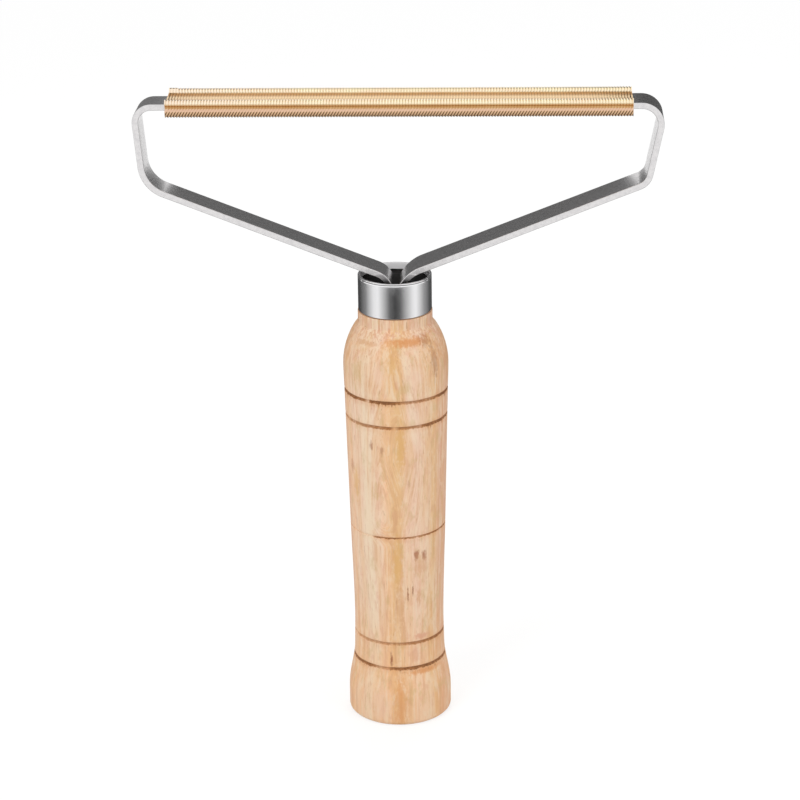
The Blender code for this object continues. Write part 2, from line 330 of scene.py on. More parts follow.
# %% Read the outline and the grooves
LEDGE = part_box("ferrule")[0].z
WHOLE_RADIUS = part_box("wooden_handle")[1].x
OUTSIDE_SHARE = 0.6           # the socket inside the handle is narrower than this share of it
DIP = 0.2 * MM                # a groove is at least this deep


def radii_by_height(node):
    """Height and radii of the rings of a turned node, lowest first."""
    found = {}
    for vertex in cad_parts[node].data.vertices:
        height = round(vertex.co.z, 6)
        radius = round(math.hypot(vertex.co.x, vertex.co.y), 6)
        found.setdefault(height, set()).add(radius)
    return sorted((height, sorted(radii)) for height, radii in found.items())


handle_rings = radii_by_height("wooden_handle")
outside = [(height, radii[-1]) for height, radii in handle_rings
           if height < LEDGE and radii[-1] > WHOLE_RADIUS * OUTSIDE_SHARE]
grooves = []
smooth_outline = list(outside)
for before, first, second, after in zip(outside, outside[1:], outside[2:], outside[3:]):
    if min(before[1], after[1]) - max(first[1], second[1]) > DIP:
        grooves.append(((first[0] + second[0]) / 2, after[0] - before[0]))
        smooth_outline = [point for point in smooth_outline if point not in (first, second)]
print("grooves at", [round(height / MM, 1) for height, width in grooves], "mm")

# %% [markdown]
# The curve through the outline is a monotone cubic: at each point its slope is a mean of the slopes
# on both sides, and zero where the outline turns back. Between two points it is Hermite's formula.

# %% Smooth the outline
def slopes_at(points):
    """Slope of the curve at each point, so that it never overshoots."""
    runs = [(b[1] - a[1]) / (b[0] - a[0]) for a, b in zip(points, points[1:])]
    inner = [0.0 if left * right <= 0 else 2 * left * right / (left + right)
             for left, right in zip(runs, runs[1:])]
    return [runs[0]] + inner + [runs[-1]]


outline_slopes = slopes_at(smooth_outline)


def body_radius(height):
    """Radius of the handle at a height, without its grooves."""
    for i in range(len(smooth_outline) - 1):
        (low, start), (high, end) = smooth_outline[i], smooth_outline[i + 1]
        if low <= height <= high:
            run = high - low
            t = (height - low) / run
            return ((1 + 2 * t) * (1 - t) ** 2 * start + t * (1 - t) ** 2 * run * outline_slopes[i]
                    + t * t * (3 - 2 * t) * end + t * t * (t - 1) * run * outline_slopes[i + 1])
    return smooth_outline[-1][1]


print("radius at mid height:", round(body_radius(LEDGE / 2) / MM, 2), "mm")

# %% [markdown]
# ## Turn the handle
#
# The grooves were pressed in with a hot wire while the wood turned, so their depth and edges wander
# a little on the way round. Noise that is read on a circle gives that wander without a seam. Rows
# lie close together in the grooves and far apart between them, which keeps the mesh light.

# %% Build the handle
ROUND_STEPS = 240
PLAIN_ROW = 1.3 * MM          # spacing of rows on plain wood
GROOVE_ROW = 0.09 * MM        # spacing of rows in a groove
GROOVE_REACH = 0.75           # share of a groove's width, to each side, that has such close rows
GROOVE_DEPTH = 0.42 * MM      # depth of a groove that is 1 mm wide
WANDER = 0.12 * MM            # how far a groove may wander up and down
WIDTH_WANDER = 0.25           # share of its width that comes and goes
DEPTH_WANDER = 0.35           # share of its depth that does


def wander(angle, height, pace):
    """Smooth noise round the handle, about -1 to 1. A higher pace changes more often."""
    return noise.noise(Vector((math.sin(angle) * pace, math.cos(angle) * pace, height / MM)))


def groove_depth(angle, height):
    """How deep the wood is cut at a place: round-bottomed, with uneven depth and edges."""
    deepest = 0.0
    for middle, width in grooves:
        half = width / 2 * (1 + WIDTH_WANDER * wander(angle, middle, pace=5))
        offset = (height - middle - WANDER * wander(angle, middle + MM, pace=2)) / half
        if abs(offset) < 1:
            uneven = 1 + DEPTH_WANDER * wander(angle, middle + 2 * MM, pace=8)
            depth = GROOVE_DEPTH * (width / MM) ** 0.5 * uneven
            deepest = max(deepest, depth * (1 - offset * offset))
    return deepest


def row_heights():
    """Heights of the rows from the foot's edge to the ledge."""
    low, high = outside[0][0], outside[-1][0]
    count = math.ceil((high - low) / PLAIN_ROW)
    heights = [low + (high - low) * i / count for i in range(count + 1)] + [z for z, radius in outside]
    for middle, width in grooves:
        reach = width * GROOVE_REACH
        heights = [z for z in heights if abs(z - middle) > reach]
        count = math.ceil(2 * reach / GROOVE_ROW)
        heights += [middle - reach + 2 * reach * i / count for i in range(count + 1)]
    return sorted(set(round(z, 7) for z in heights))


def handle_row(height):
    """One ring of the handle's outside."""
    points = []
    for i in range(ROUND_STEPS):
        angle = math.tau * i / ROUND_STEPS
        radius = body_radius(height) - groove_depth(angle, height)
        points.append((radius * math.sin(angle), -radius * math.cos(angle), height))
    return points


def build_handle():
    """The turned handle with its spigot and socket, which the ferrule and the resin hide."""
    shape = bmesh.new()
    rows = [add_row(shape, handle_row(height)) for height in row_heights()]
    foot_face = handle_rings[0][1][-1]
    rows.insert(0, add_row(shape, circle(foot_face, 0.0, ROUND_STEPS)))
    spigot = [(radii[-1], height) for height, radii in handle_rings if height > outside[-1][0] - DIP]
    ledge = [(radii[-2], height) for height, radii in handle_rings if height == outside[-1][0]]
    top_height, top_radii = handle_rings[-1]
    socket = [(height, radii[-1]) for height, radii in handle_rings
              if height < LEDGE and radii[-1] < WHOLE_RADIUS * OUTSIDE_SHARE]
    hidden = ledge + spigot[1:] + [(top_radii[0], top_height), (socket[0][1], socket[0][0])]
    rows += [add_row(shape, circle(radius, height, ROUND_STEPS)) for radius, height in hidden]
    lay_rows(shape, rows)
    close_with_point(shape, rows[0], (0, 0, 0))
    close_with_point(shape, rows[-1], (0, 0, socket[0][0]))
    return shape


print("rows on the handle:", len(row_heights()))

# %% [markdown]
# ## Pale wood
#
# The handle is cut along the grain, so its colours lie in long soft bands: cream, pink, peach and
# honey. A picture could be wrapped round it, and it would show a seam and stretch on the foot. The
# bands are a Color Ramp over the direction round the handle instead, swayed by slow noise. The
# finer grain is noise in space, squeezed sideways and stretched along the handle.

# %% Wood: tints and bands
CREAM = linear(238, 214, 184)
PINK = linear(238, 202, 176)
PEACH = linear(242, 194, 152)
HONEY = linear(230, 186, 134)
GOLD = linear(222, 172, 106)
TAN = linear(212, 160, 116)
FOOT_GOLD = linear(236, 180, 122)
ROSE = linear(218, 160, 128)
OLIVE = linear(206, 172, 116)
AMBER = linear(216, 144, 80)
BROWN = linear(168, 113, 66)
UMBER = linear(158, 94, 56)
CHAR = linear(104, 64, 34)
# degrees from the front, and the tint there
BANDS = [(-180, PEACH), (-130, CREAM), (-96, HONEY), (-78, ROSE), (-60, PEACH), (-46, PINK),
         (-34, CREAM), (-20, PINK), (-10, PEACH), (-2, HONEY), (6, HONEY), (14, PINK), (34, PINK),
         (48, HONEY), (62, ROSE), (74, ROSE), (88, TAN), (120, PEACH), (150, CREAM), (180, PEACH)]
SWAY = 26                     # degrees that a band may wander, both ways together
SWAY_SCALE = (0.06, 0.06, 0.016)


def direction(x, y):
    """Degrees round the tool's middle line: 0 in front, 90 at +X, 180 and -180 behind."""
    return x.work("ARCTAN2", x, y * -1.0) * (180 / math.pi)


def ramp_round(finish, azimuth, stops):
    """A Color Ramp over the direction round the tool, with a colour or a level at each stop."""
    places = [((degrees + 180) / 360, value if isinstance(value, tuple) else (value,) * 3)
              for degrees, value in stops]
    return finish.node("ShaderNodeValToRGB", {"stops": places}, {0: (azimuth + 180.0) / 360.0})


def tints(wood, azimuth, place):
    """Soft bands along the grain, each with its own slow sway."""
    sway = wood.noise(place * SWAY_SCALE, detail=2.0, lift=3.0) * SWAY - SWAY / 2
    return ramp_round(wood, azimuth + sway, BANDS)


print("bands round the handle:", len(BANDS))

# %% [markdown]
# On the front the lathe cut through the growth rings of a gentle bow in the log, and the fibres
# meet there in a feathered V. To draw it, a point's place is shifted sideways by how far it is from
# the middle of the V and by its height. The same noise then runs aslant on both sides.

# %% Wood: the feathered V
FEATHER_SLOPE = 0.2           # sideways per millimetre of height
FEATHER_FOOT = 62.0           # height where the V ends in its point
FEATHER_TOP = 86.0            # above this height the grain slowly turns straight again
FEATHER_END = 122.0           # and here it is straight
FEATHER_LEFT = -1.5           # the farthest left that the V's middle may lie
FEATHER_DRIFT = 5.0           # how far to the right of that it may wander
FEATHER_SIDE = (4.0, 11.0)    # distance from the V's middle over which it fades
FEATHER_FRONT = (-11.0, -7.0)   # depth over which the front passes into the sides


def feathered(wood, place, x, y, z):
    """The place of a point in the grain: bent to a V on the front, straight elsewhere."""
    middle = wood.noise(place * (0.0, 0.0, 0.03), detail=1.0, lift=11.0) * FEATHER_DRIFT + FEATHER_LEFT
    beside = x - middle
    bent = abs(beside) - (z.smaller(FEATHER_TOP) - FEATHER_FOOT) * FEATHER_SLOPE
    front = abs(beside).fade(*FEATHER_SIDE) * y.fade(*FEATHER_FRONT)
    reach = z.step(FEATHER_FOOT - 4.0, FEATHER_FOOT + 6.0) * z.fade(FEATHER_TOP - 4.0, FEATHER_END)
    shift = (bent - beside) * front * reach
    return place + wood.node("ShaderNodeCombineXYZ", {}, {0: shift})


print("the V runs from", FEATHER_FOOT, "mm up and is straight at", FEATHER_END, "mm")

# %% [markdown]
# A real handle also has things that happen once: small knots, a golden streak, a brown smear where
# the tool dwelt on the shoulder. They could be painted on a picture, and its seam would come along.
# Each is one entry of a list instead, and a loop draws them all with the same ragged edge.

# %% Wood: marks that happen once
# direction in degrees, height, half width in degrees, half height, tint, strength
MARKS = [(19, 122.2, 33, 1.3, AMBER, 0.8), (42, 122.0, 9, 1.9, UMBER, 0.4),
         (-38, 121.5, 18, 0.7, TAN, 0.6), (50, 115.5, 6, 5.5, UMBER, 0.45),
         (-1, 117.0, 6, 4.0, GOLD, 0.5), (-46, 112.5, 10, 4.2, OLIVE, 0.5),
         (12, 109.0, 6, 2.4, OLIVE, 0.5), (-18, 113.0, 9, 4.0, PINK, 0.5),
         (26, 112.0, 8, 4.0, PINK, 0.5), (-28, 90.5, 2.4, 1.6, UMBER, 0.6),
         (-15, 89.6, 2.4, 1.6, UMBER, 0.5), (6.5, 91.0, 5.5, 8.0, GOLD, 0.8),
         (-61, 82.0, 4, 2.4, UMBER, 0.4), (-54, 77.0, 6, 6.0, GOLD, 0.6),
         (15.5, 78.6, 2.2, 1.6, UMBER, 0.3), (-34, 67.0, 7, 9.0, CREAM, 0.8),
         (-1, 68.0, 4, 6.0, TAN, 0.6), (1, 53.0, 6, 9.0, GOLD, 0.8),
         (25, 55.5, 3.6, 1.8, UMBER, 0.8), (35, 55.1, 4.2, 1.9, UMBER, 0.8),
         (30, 52.0, 9, 4.0, TAN, 0.5), (20, 44.2, 1.3, 2.4, UMBER, 0.8),
         (13.5, 42.6, 1.3, 2.4, UMBER, 0.8), (28, 41.5, 3, 2.8, TAN, 0.7),
         (3.5, 39.0, 6, 9.0, TAN, 0.6), (7, 30.0, 5, 5.0, TAN, 0.5),
         (-8, 21.4, 2.4, 2.0, UMBER, 0.9), (32, 28.4, 14, 1.1, ROSE, 0.8),
         (36, 16.9, 26, 1.1, AMBER, 0.75), (3, 8.0, 8, 10.0, AMBER, 0.55),
         (22, 22.5, 6, 3.0, ROSE, 0.5), (-20, 7.0, 14, 6.0, PINK, 0.4)]
MARK_EDGE = (0.3, 1.25)       # shares of a mark's half size between which it fades


def add_marks(wood, color, azimuth, z, ragged):
    """Lay each mark over a colour, as an ellipse with a ragged soft edge."""
    for degrees, height, half_turn, half_height, tint, strength in MARKS:
        distance = length((azimuth - degrees) / half_turn, (z - height) / half_height) + ragged
        color = wood.blend(distance.fade(*MARK_EDGE, strength), color, tint)
    return color


print("marks on the handle:", len(MARKS))

# %% [markdown]
# The grooves were burnt with a wire. The scorch is uneven, so each groove has a short list of
# directions with the strength there. Where it is strong the line is dark and frayed, and short
# torn fibres hang below it. Where it is weak only a thin brown line is left.

# %% Wood: scorched grooves
# for each groove, lowest first: degrees from the front, and how strong the scorch is there
BURNS = [[(-180, 0.8), (-70, 0.9), (-38, 0.85), (-26, 0.4), (-12, 0.35), (-6, 0.9), (60, 0.9),
          (180, 0.8)],
         [(-180, 0.7), (-80, 0.25), (-40, 0.4), (0, 0.45), (30, 0.6), (60, 0.8), (180, 0.7)],
         [(-180, 0.6), (-70, 0.06), (-32, 0.1), (-24, 0.6), (10, 0.65), (20, 0.4), (50, 0.65),
          (180, 0.6)],
         [(-180, 0.8), (-70, 0.35), (-20, 0.6), (-5, 0.65), (0, 0.1), (6, 0.6), (30, 0.5),
          (40, 0.9), (180, 0.8)],
         [(-180, 0.8), (-60, 0.9), (-36, 0.7), (-31, 0.2), (-27, 1.0), (-4, 1.0), (8, 0.5),
          (45, 0.5), (62, 0.95), (180, 0.8)]]
TORN_LENGTH = 1.5             # millimetres that torn fibres hang below a groove
HAZE_REACH = 1.6              # millimetres that the brown haze reaches from its edge


def groove_burn(wood, azimuth, z, middle, width, burn, ragged, torn):
    """The scorch of one groove: a frayed line, and a faint brown haze round it."""
    strength = wood.split(ramp_round(wood, azimuth, burn))[0] * ragged.step(-0.7, 0.5, 0.5, 1.0)
    height = z - middle / MM
    half = width / MM / 2
    line = abs(height + ragged * 0.35).fade(half * 0.6, half * 1.4)
    below = (height * -1.0).fade(half, half + TORN_LENGTH) * height.fade(-half * 0.2, half * 0.2)
    fray = torn * below * strength.step(0.5, 0.9) * 0.7
    haze = abs(height + 0.3).fade(half, half + HAZE_REACH)
    return line.larger(fray) * strength, haze * strength


def add_burns(wood, color, azimuth, z, ragged, torn):
    """Lay the scorch of all grooves over a colour. Returns the colour and how burnt it is."""
    line = 0.0
    haze = 0.0
    for (middle, width), burn in zip(grooves, BURNS):
        mark, glow = groove_burn(wood, azimuth, z, middle, width, burn, ragged, torn)
        line = mark.larger(line)
        haze = glow.larger(haze)
    color = wood.blend(haze * 0.35, color, AMBER)
    color = wood.blend(line.step(0.0, 0.6), color, BROWN)
    return wood.blend(line.step(0.5, 0.95, 0.0, 0.6), color, CHAR), line


print("scorched grooves:", len(BURNS))

# %% [markdown]
# Now the layers come together, from broad to fine: bands, soft streaks, fibres, hair-thin pores,
# rosy and olive blotches, single marks and the scorch. Each layer could be written out. They all
# do the same, which is to blend a tint in where a cloud of noise is high or low, so a table lists
# them and a loop lays them. The same fibres feed the bump, and light catches what the eye sees as
# grain. The foot and the shoulder are a little more golden than the rest. The foot is sanded
# smoothest, and the shoulder's end grain shows strongest.

# %% Wood: clouds and layers
# how fast a cloud changes over a millimetre sideways and upwards, its detail, roughness and lift
CLOUDS = {"broad": (0.3, 0.014, 2.0, 0.5, 9.0), "streak": (0.75, 0.04, 3.0, 0.6, 1.0),
          "fibre": (1.8, 0.09, 4.0, 0.65, 5.0), "pore": (2.6, 0.3, 2.0, 0.5, 8.0),
          "hair": (7.0, 0.25, 3.0, 0.6, 2.0), "ragged": (1.3, 0.6, 4.0, 0.7, 6.0),
          "blotch": (0.45, 0.2, 4.0, 0.65, 13.0), "moss": (0.4, 0.16, 3.0, 0.6, 17.0),
          "neck": (1.5, 0.03, 1.0, 0.5, 7.0), "torn": (2.4, 0.12, 2.0, 0.5, 4.0)}
IN_THE_V = ("broad", "streak", "fibre", "pore")
# cloud, values between which its tint comes or goes, its share at both, tint
LAYERS = [("broad", 0.42, 0.66, 0.0, 0.5, HONEY), ("broad", 0.34, 0.5, 0.4, 0.0, CREAM),
          ("streak", 0.5, 0.7, 0.0, 0.5, TAN), ("streak", 0.32, 0.5, 0.45, 0.0, CREAM),
          ("fibre", 0.5, 0.7, 0.0, 0.5, TAN), ("fibre", 0.34, 0.5, 0.35, 0.0, CREAM),
          ("pore", 0.64, 0.76, 0.0, 0.4, UMBER), ("hair", 0.56, 0.72, 0.0, 0.18, UMBER),
          ("blotch", 0.52, 0.68, 0.0, 0.35, ROSE), ("blotch", 0.34, 0.48, 0.35, 0.0, CREAM),
          ("moss", 0.54, 0.7, 0.0, 0.4, OLIVE)]
FINE = ("fibre", "pore", "hair")
# heights between which something starts or ends on the handle
SANDED = (16.0, 26.0)         # the foot with its weaker grain ends
FOOT_END = (20.0, 42.0)       # the golden foot ends
END_GRAIN = (98.0, 110.0)     # the stronger grain of the shoulder starts
SHOULDER = (104.0, 112.0)     # the golden shoulder starts
SHOULDER_END = (120.0, 123.0)   # and ends
NECK = (122.4, 123.2)         # the lined neck starts
RAGGEDNESS = 2.4              # how far edges fray, both ways together


def make_clouds(wood, place, grain):
    """All the noise of the wood by name. Some of it follows the feathered V."""
    clouds = {}
    for name, (across, along, detail, roughness, lift) in CLOUDS.items():
        where = (grain if name in IN_THE_V else place) * (across, across, along)
        clouds[name] = wood.noise(where, detail, roughness, lift)
    return clouds


def add_layers(wood, color, clouds, z):
    """Lay the tints of the clouds over a colour, from broad to fine."""
    fineness = z.step(*SANDED, 0.6, 1.0) * z.step(*END_GRAIN, 1.0, 1.4)
    for name, low, high, start, end, tint in LAYERS:
        share = clouds[name].step(low, high, start, end)
        color = wood.blend(share * fineness if name in FINE else share, color, tint)
    return color


print("layers of tint:", len(LAYERS), "from", len(CLOUDS), "clouds")

# %% [markdown]
# The finish itself is now short. The scorched wood is a little rougher than the rest, and so are
# the dark fibres between the pale ones. One roughness for all of it would shine like varnish.

# %% Wood: the whole finish
def mix_wood():
    wood = Finish("pale_wood")
    place = wood.place()
    x, y, z = wood.split(place)
    azimuth = direction(x, y)
    clouds = make_clouds(wood, place, feathered(wood, place, x, y, z))
    ragged = clouds["ragged"] * RAGGEDNESS - RAGGEDNESS / 2
    neck_line = clouds["neck"].step(0.47, 0.56)
    torn = clouds["torn"].step(0.5, 0.62)
    color = tints(wood, azimuth, place)
    color = wood.blend(z.fade(*FOOT_END, 0.5), color, FOOT_GOLD)
    color = wood.blend(z.step(*SHOULDER, 0.0, 0.25) * z.fade(*SHOULDER_END), color, FOOT_GOLD)
    color = wood.blend(z.step(*NECK) * (neck_line * 0.8), color, ROSE)
    color = add_layers(wood, color, clouds, z)
    color = add_marks(wood, color, azimuth, z, ragged)
    color, line = add_burns(wood, color, azimuth, z, ragged, torn)
    rough = clouds["fibre"] * 0.15 + line * 0.2 + 0.45
    relief = clouds["fibre"] * 0.6 + clouds["hair"] * 0.4 + clouds["streak"] * 0.4
    bump = wood.bump(relief, strength=0.5, depth=0.05 * MM)
    return wood.surface({"Base Color": color, "Roughness": rough, "Normal": bump})


make_piece("handle", build_handle(), mix_wood(), "wooden_handle", sharp_above=50)

# %% [markdown]
# ## The ferrule
#
# The ferrule is a short piece of polished tube. Its outer wall shows long bright and dark bands,
# which are nothing but the room: a mirror-like tube squeezes everything round it into upright
# stripes. The bands could be painted on, and they would then stand still when the camera moves.
# Here the wall stays plain steel, and the stripes come from a ring of light and dark that stands
# round it. The wall's top edge is rolled over, with a fine turned line below it.

# %% Build the ferrule
FERRULE_STEPS = 180
LIP = 0.22 * MM               # rounding of the top edge
LIP_STEPS = 6
EDGE_BREAK = 0.1 * MM         # bevel at the foot of the bore
TOOL_MARK = 0.42 * MM         # from the rim down to the fine turned line
TOOL_MARK_DEPTH = 0.13 * MM
WALL_END = 0.45 * MM          # a row this far from each end keeps the wall's shading straight
# millimetres in from the wall and up from its foot, round the foot's edge
FOOT_EDGE = [(0.1, 0.0), (0.03, 0.03), (0.0, 0.12)]
# millimetres up from the turned line, and the share of its depth there
TOOL_MARK_SHAPE = [(-0.16, 0.0), (-0.08, 0.5), (0.0, 1.0), (0.07, 0.3), (0.14, 0.0)]
ferrule_low, ferrule_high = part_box("ferrule")
ferrule_radius = ferrule_high.x
ferrule_bore = min(min(radii) for height, radii in radii_by_height("ferrule"))


def ferrule_outline():
    """Radius and height of the wall's section, from the foot up the outside and down the bore."""
    low, rim = ferrule_low.z, ferrule_high.z
    mark = rim - TOOL_MARK
    outline = [(ferrule_radius - inset * MM, low + rise * MM) for inset, rise in FOOT_EDGE]
    outline += [(ferrule_radius, low + WALL_END), (ferrule_radius, mark - WALL_END)]
    outline += [(ferrule_radius - TOOL_MARK_DEPTH * share, mark + rise * MM)
                for rise, share in TOOL_MARK_SHAPE]
    outline += arc((ferrule_radius - LIP, rim - LIP), LIP, 0.0, math.pi / 2, LIP_STEPS)
    outline += arc((ferrule_bore + LIP, rim - LIP), LIP, math.pi / 2, math.pi, LIP_STEPS)
    return outline + [(ferrule_bore, low + EDGE_BREAK), (ferrule_bore + EDGE_BREAK, low)]


def build_ferrule():
    shape = bmesh.new()
    rows = [add_row(shape, circle(radius, height, FERRULE_STEPS)) for radius, height in ferrule_outline()]
    lay_rows(shape, rows + rows[:1])
    return shape


print("points in the wall's section:", len(ferrule_outline()))

# %% [markdown]
# Polished steel is a Principled shader at full Metallic. One even roughness would look too perfect.
# What makes it real is in its roughness: fine rings from the polishing wheel run round the wall,
# and a few soft smudges dull the shine. The turned line is painted dark, as the dark reflection
# that shows just under the rim. The wheel never reached the bore, whose pale matt skin scatters
# light, so there the metal gives way to a plain surface.

# %% Polished steel
STEEL = linear(238, 238, 240)
SMUDGED_STEEL = linear(244, 243, 243)
PAINTED_DARK_LINE = linear(84, 82, 82)
BORE_EDGE = (0.1, 0.3)        # millimetres from the bore's wall between which its skin ends
DARK_LINE_REACH = (0.06, 0.15)    # millimetres from the turned line between which its painted dark reflection ends


def mix_polished_steel():
    steel = Finish("polished_steel")
    place = steel.place()
    wheel = steel.noise(place * (0.15, 0.15, 14.0), detail=4.0, roughness=0.7)
    smudge = steel.noise(place * (0.35, 0.35, 0.35), detail=3.0, lift=4.0)
    x, y, z = steel.split(place)
    bore = length(x, y).fade(*[ferrule_bore / MM + edge for edge in BORE_EDGE])
    line = abs(z - (ferrule_high.z - TOOL_MARK) / MM).fade(*DARK_LINE_REACH) * (1 - bore)
    rough = wheel * 0.06 + smudge.step(0.45, 0.75) * 0.06 + bore * 0.4 + line * 0.2 + 0.12
    color = steel.blend(smudge, STEEL, SMUDGED_STEEL)
    # the turned line is painted dark, as the dark reflection that shows just under the rim
    color = steel.blend(line * 0.9, color, PAINTED_DARK_LINE)
    bump = steel.bump(wheel, strength=0.35, depth=0.004 * MM)
    return steel.surface({"Base Color": color, "Roughness": rough, "Metallic": 1 - bore, "Normal": bump})


make_piece("ferrule_collar", build_ferrule(), mix_polished_steel(), "ferrule")

# %% [markdown]
# ## The strap
#
# The loop is one flat steel bar, slit from a sheet and bent by hand, so it keeps the exact path of
# the packed solid. A Bevel modifier would round its edges, but an imported mesh has split corners
# that a modifier can't bevel. A copy is welded and bevelled in bmesh instead, and weighted normals
# keep the wide faces flat in the light.

# %% Build the strap
STRAP_EDGE = 0.24 * MM        # rounding of the slit edges
STRAP_EDGE_STEPS = 3
WELD = 0.001 * MM             # corners closer than this are one corner
FLAT = math.radians(1.0)      # faces that meet at less than this are one flat face
SLIT = math.radians(60)       # a slit edge is sharper than this


def build_strap():
    shape = bmesh.new()
    shape.from_mesh(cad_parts["strap_frame"].data)
    bmesh.ops.remove_doubles(shape, verts=shape.verts, dist=WELD)
    bmesh.ops.dissolve_limit(shape, angle_limit=FLAT, verts=shape.verts, edges=shape.edges)
    sharp = [edge for edge in shape.edges if edge.calc_face_angle(0) > SLIT]
    bmesh.ops.bevel(shape, geom=sharp, offset=STRAP_EDGE, segments=STRAP_EDGE_STEPS, profile=0.5,
                    affect="EDGES")
    return shape


print("the strap's edges are rounded by", round(STRAP_EDGE / MM, 2), "mm")

# %% [markdown]
# The bar came cold rolled: a satin grey skin, slightly mottled, with faint lines along its length.
# A single grey would look like plastic. Two noises do it, one as wide as it is high for the mottle,
# and one that changes fast across the bar and slowly along it for the lines.

# %% Strap steel
ROLLED_STEEL = linear(224, 222, 222)
DULL_STEEL = linear(212, 210, 211)


def mix_strap_steel():
    steel = Finish("strap_steel")
    place = steel.place()
    mottle = steel.noise(place * (0.8, 0.8, 0.8), detail=4.0, roughness=0.6)
    lines = steel.noise(place * (0.12, 9.0, 0.12), detail=3.0, roughness=0.6, lift=2.0)
    color = steel.blend(mottle.step(0.35, 0.7), ROLLED_STEEL, DULL_STEEL)
    rough = mottle * 0.08 + lines * 0.08 + 0.15
    bump = steel.bump(lines * 0.6 + mottle * 0.4, strength=0.3, depth=0.005 * MM)
    return steel.surface({"Base Color": color, "Roughness": rough, "Metallic": 1.0, "Normal": bump})


strap = make_piece("strap", build_strap(), mix_strap_steel(), "strap_frame")
strap.modifiers.new("flat_faces", "WEIGHTED_NORMAL").keep_sharp = True

# %% [markdown]
# ## The comb sleeve
#
# The comb is a strip of brass sheet, folded round the strap into four lobes and crimped into fine
# ribs, which catch the lint. The ribs could be a bump texture, but they show as teeth against the
# background, so they are real geometry. The section of the sleeve is made of arcs, drawn once for
# the ridges and once for the valleys. Each row along the sleeve is a mix of the two.

# %% The sleeve's section
SHEET = 0.25 * MM
UPPER_LOBE_RADIUS = 1.05 * MM
LOWER_LOBE_RADIUS = 1.5 * MM
LOBE_PARTING = 0.2 * MM       # between an upper lobe and the lower one beside it
PARTING_RISE = 0.63 * MM      # from the strap's middle line up to that parting
EDGE_SPACE = 1.0 * MM         # between the strap's edge and the sheet in front of it
EDGE_FILLET = 0.35 * MM
FLOOR_HALF_WIDTH = 3.6 * MM
SEAM = 0.3 * MM
FIT = 0.3 * MM
STRAP_THICKNESS = 1.8 * MM
STRAP_WIDTH = 10.0 * MM
SLEEVE_ROLL = math.radians(2.6)
FLOOR_RISE = STRAP_THICKNESS / 2 + FIT + SHEET + FLOOR_HALF_WIDTH * math.sin(SLEEVE_ROLL)
LOBE_STEP = math.radians(15)
FILLET_STEPS = 3
sleeve_low, sleeve_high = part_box("comb_sleeve")


def sleeve_quarter(lobe_radius, floor, inset):
    """A quarter of the section as (depth, height over the parting), from the floor to the edge."""
    edge = STRAP_WIDTH / 2 + EDGE_SPACE + SHEET
    lobe_height = lobe_radius + LOBE_PARTING / 2
    edge_centre = (edge + EDGE_FILLET, 0)
    edge_span = lobe_radius + EDGE_FILLET
    lobe_depth = edge_centre[0] - math.sqrt(edge_span ** 2 - lobe_height ** 2)
    lift = lobe_height - floor
    floor_fillet = (((lobe_depth - FLOOR_HALF_WIDTH) ** 2 + lift ** 2 - lobe_radius ** 2)
                    / (2 * (lobe_radius + lift)))
    floor_centre = (FLOOR_HALF_WIDTH, floor + floor_fillet)
    to_floor = math.atan2(floor_centre[1] - lobe_height, FLOOR_HALF_WIDTH - lobe_depth)
    to_edge = math.atan2(-lobe_height, edge_centre[0] - lobe_depth)
    lobe_steps = math.ceil((to_floor - to_edge) / LOBE_STEP)
    floor_arc = arc(floor_centre, floor_fillet + inset, -math.pi / 2, to_floor - math.pi, FILLET_STEPS)
    lobe_arc = arc((lobe_depth, lobe_height), lobe_radius - inset, to_floor, to_edge, lobe_steps)
    edge_arc = arc(edge_centre, EDGE_FILLET + inset, to_edge + math.pi, math.pi, FILLET_STEPS)
    return floor_arc + lobe_arc[1:-1] + edge_arc


def sleeve_section(inset):
    """The whole section, from one side of the seam under the strap round to the other."""
    upper = sleeve_quarter(UPPER_LOBE_RADIUS, FLOOR_RISE - PARTING_RISE, inset)
    lower = sleeve_quarter(LOWER_LOBE_RADIUS, FLOOR_RISE + PARTING_RISE, inset)
    floor = lower[0][1]
    lower_back = [(y, -z) for y, z in lower]
    upper_back = [(y, z) for y, z in reversed(upper[:-1])]
    upper_front = [(-y, z) for y, z in upper]
    lower_front = [(-y, -z) for y, z in reversed(lower[:-1])]
    return ([(SEAM / 2, -floor)] + lower_back + upper_back + upper_front + lower_front
            + [(-SEAM / 2, -floor)])


def rolled(y, z):
    """A point of the section on the strap, after the sleeve has rolled about its middle line."""
    rise = z + PARTING_RISE
    return (y * math.cos(SLEEVE_ROLL) - rise * math.sin(SLEEVE_ROLL),
            y * math.sin(SLEEVE_ROLL) + rise * math.cos(SLEEVE_ROLL))


strap_height = sleeve_high.z - max(rolled(y, z)[1] for y, z in sleeve_section(0))
print("strap's middle line at", round(strap_height / MM, 2), "mm")
print("points in a section:", len(sleeve_section(0)))

# %% [markdown]
# A crimping wheel presses the ribs one by one, so no two are quite alike: their depth wanders by a
# few hundredths of a millimetre. It bites deepest along the crests and the bottom, and leaves the
# front faces shallow. On the lower lobes the ribs lean, because the wheel ran off them at an angle.
# At one end of the upper back lobe it started late and left two millimetres smooth. An Array
# modifier would copy one rib without any of that, so a formula gives each rib its own depth.

# %% Build the sleeve
RIBS = 160
RIB_DEPTH = 0.34 * MM
RIB_WANDER = 0.12             # share of a rib's depth that comes and goes from rib to rib
RIB_ROWS = 6                  # rows of points in each rib
RIB_LEAN = 0.55               # sideways lean of the ribs on the lower lobes
VALLEY_POWER = 1.6            # over 1 makes the valleys narrower than the ridges
FRONT_SHARE = 0.5             # how deep the ribs are on the front faces, against the crests
CREST_START = 1.0 * MM        # distance from the parting where the ribs get deeper
CREST_FULL = 1.75 * MM
SMOOTH_END = 2.2 * MM
SMOOTH_SHARE = 0.12           # how deep the ribs are on the smooth end
RIDGE = 0.02 * MM             # the ridges stay this far inside the packed solid
INNER_SKIN = 0.42 * MM        # depth of the sheet's inner side
rib_pitch = (sleeve_high.x - sleeve_low.x) / RIBS


